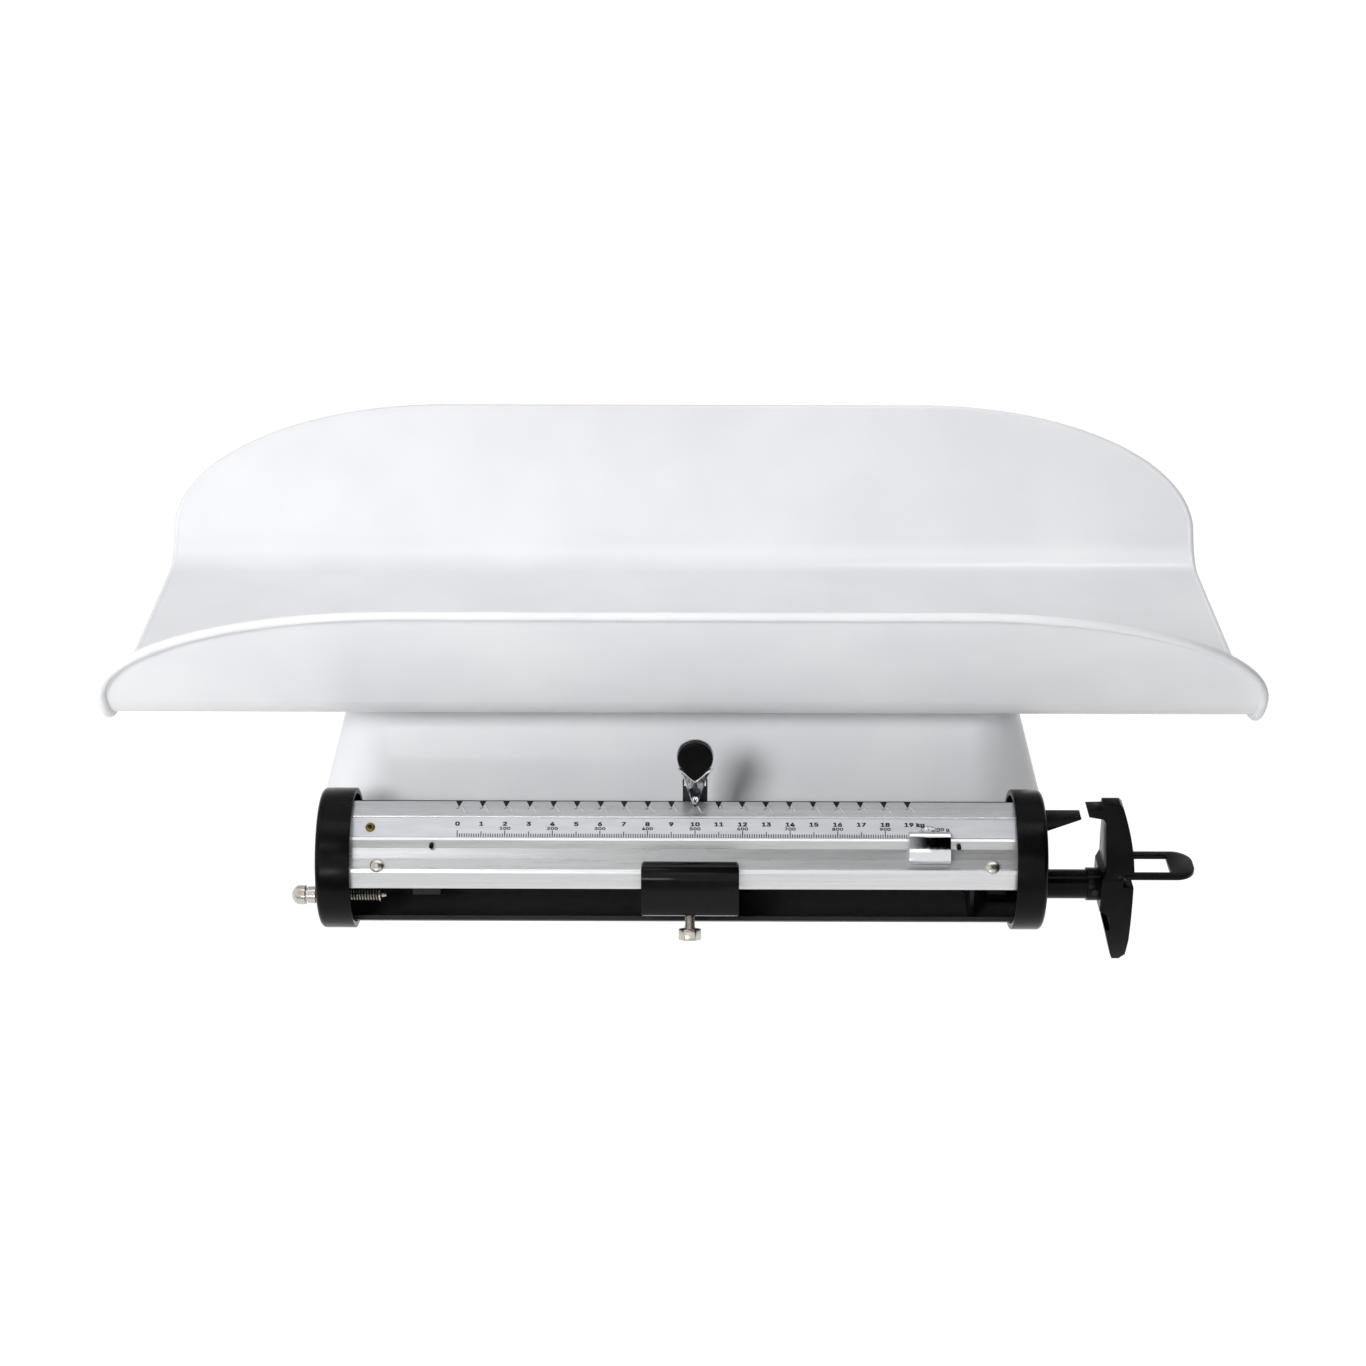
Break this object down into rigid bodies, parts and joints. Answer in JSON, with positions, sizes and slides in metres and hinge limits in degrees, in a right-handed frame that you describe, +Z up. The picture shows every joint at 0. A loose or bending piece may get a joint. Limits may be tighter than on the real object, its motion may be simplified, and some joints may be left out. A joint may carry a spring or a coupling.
{
  "type": "baby scale",
  "caption": "Mechanical baby scale: a white trough pan on a pressed base, weighed by a tubular beam with sliding poises, a tare block and a lockable index.",
  "frame": {"origin": "on the table plane under the feet, under the middle of the whole object's outline", "axes": "+Z up, +X to the user's right along the beam, -Y towards the user, the beam in front"},
  "size_m": [0.55, 0.2982, 0.1897],
  "materials": {
    "white_enamel": "gloss",
    "grey_paint": "satin",
    "black_paint": "satin",
    "zinc_sheet": "satin",
    "nickel": "satin",
    "hard_steel": "satin",
    "cast_iron": "matte",
    "rubber": "matte",
    "brushed_aluminium": "satin",
    "label_foil": "satin",
    "brass": "satin",
    "black_plastic": "satin",
    "chrome": "polished"
  },
  "bodies": {
    "base": {"base_housing": "white_enamel", "base_plate": "zinc_sheet", "rubber_feet": "rubber", "feet_screws": "nickel", "lever_stands": "cast_iron", "fulcrum_stand": "black_paint", "fulcrum_bearings": "hard_steel", "bar_stand": "black_paint", "fixed_bar": "black_paint", "index_bow": "black_plastic", "bow_clamp_screw": "nickel", "lock_pin": "hard_steel", "bracket_screws": "nickel"},
    "platform": {"pan": "white_enamel", "platform_frame": "grey_paint", "pan_nuts": "nickel", "platform_bearings": "hard_steel"},
    "long_lever": {"long_lever": "cast_iron", "long_lever_knives": "hard_steel", "lever_strut": "hard_steel", "beam_link": "hard_steel"},
    "short_lever": {"short_lever": "cast_iron", "short_lever_knives": "hard_steel"},
    "beam": {"left_end_cap": "black_plastic", "right_end_cap": "black_plastic", "scale_profile": "brushed_aluminium", "scale_label": "label_foil", "label_rivet": "brass", "profile_screws": "nickel", "stop_pins": "black_plastic", "lower_shell": "black_paint", "guide_rod": "hard_steel", "fulcrum_knife": "hard_steel", "load_knife": "hard_steel", "lock_plate": "hard_steel"},
    "kg_poise": {"kg_weight": "hard_steel", "kg_carriage": "black_paint", "latch_pin": "hard_steel"},
    "kg_latch": {"kg_latch": "chrome", "kg_knob": "black_plastic"},
    "gram_poise": {"gram_poise": "chrome"},
    "tare_poise": {"tare_poise": "black_plastic"},
    "tare_screw": {"tare_screw": "nickel"},
    "zero_screw": {"zero_screw": "nickel"},
    "lock_lever": {"lock_lever": "black_plastic"},
    "lock_rod": {"lock_rod": "hard_steel"}
  },
  "joints": [
    {"name": "beam_swing", "type": "hinge", "parent": "base", "child": "beam", "pos_m": [-0.121, -0.10809, 0.05], "axis": [0, 1, 0], "range_deg": [-1, 1]},
    {"name": "platform_sink", "type": "slide", "parent": "base", "child": "platform", "axis": [0, 0, 1], "range_m": [-0.0001, 0.0001]},
    {"name": "long_lever_swing", "type": "hinge", "parent": "base", "child": "long_lever", "pos_m": [0.128, 0.01191, 0.0195], "axis": [0, 1, 0], "range_deg": [-0.1, 0.1]},
    {"name": "short_lever_swing", "type": "hinge", "parent": "base", "child": "short_lever", "pos_m": [-0.128, 0.01191, 0.0365], "axis": [0, 1, 0], "range_deg": [-0.1, 0.1]},
    {"name": "kg_slide", "type": "slide", "parent": "beam", "child": "kg_poise", "axis": [1, 0, 0], "range_m": [-0.1112, 0.10008]},
    {"name": "kg_latch_tilt", "type": "hinge", "parent": "kg_poise", "child": "kg_latch", "pos_m": [0.00626, -0.10334, 0.0975], "axis": [1, 0, 0], "range_deg": [-25, 6]},
    {"name": "gram_slide", "type": "slide", "parent": "beam", "child": "gram_poise", "axis": [1, 0, 0], "range_m": [-0.2214, 0.001]},
    {"name": "tare_slide", "type": "slide", "parent": "beam", "child": "tare_poise", "axis": [1, 0, 0], "range_m": [-0.092, 0.092]},
    {"name": "tare_clamp_turn", "type": "hinge", "parent": "tare_poise", "child": "tare_screw", "pos_m": [0.004, -0.13859, 0.0425], "axis": [0, 0.4226, 0.9063], "range_deg": [-180, 180]},
    {"name": "zero_turn", "type": "hinge", "parent": "beam", "child": "zero_screw", "pos_m": [-0.16, -0.12609, 0.0439], "axis": [1, 0, 0], "range_deg": [-360, 360]},
    {"name": "lock_turn", "type": "hinge", "parent": "base", "child": "lock_lever", "pos_m": [0.2075, -0.10809, 0.0507], "axis": [0, 1, 0], "range_deg": [0, 25]},
    {"name": "lock_push", "type": "slide", "parent": "base", "child": "lock_rod", "axis": [-1, 0, 0], "range_m": [0, 0.0042]}
  ],
  "couplings": [
    {"joint": "platform_sink", "follows": "beam_swing", "m_per_rad": 0.0056727},
    {"joint": "long_lever_swing", "follows": "beam_swing", "ratio": 0.094545},
    {"joint": "short_lever_swing", "follows": "beam_swing", "ratio": -0.094545},
    {"joint": "lock_push", "follows": "lock_turn", "m_per_rad": 0.009625}
  ]
}
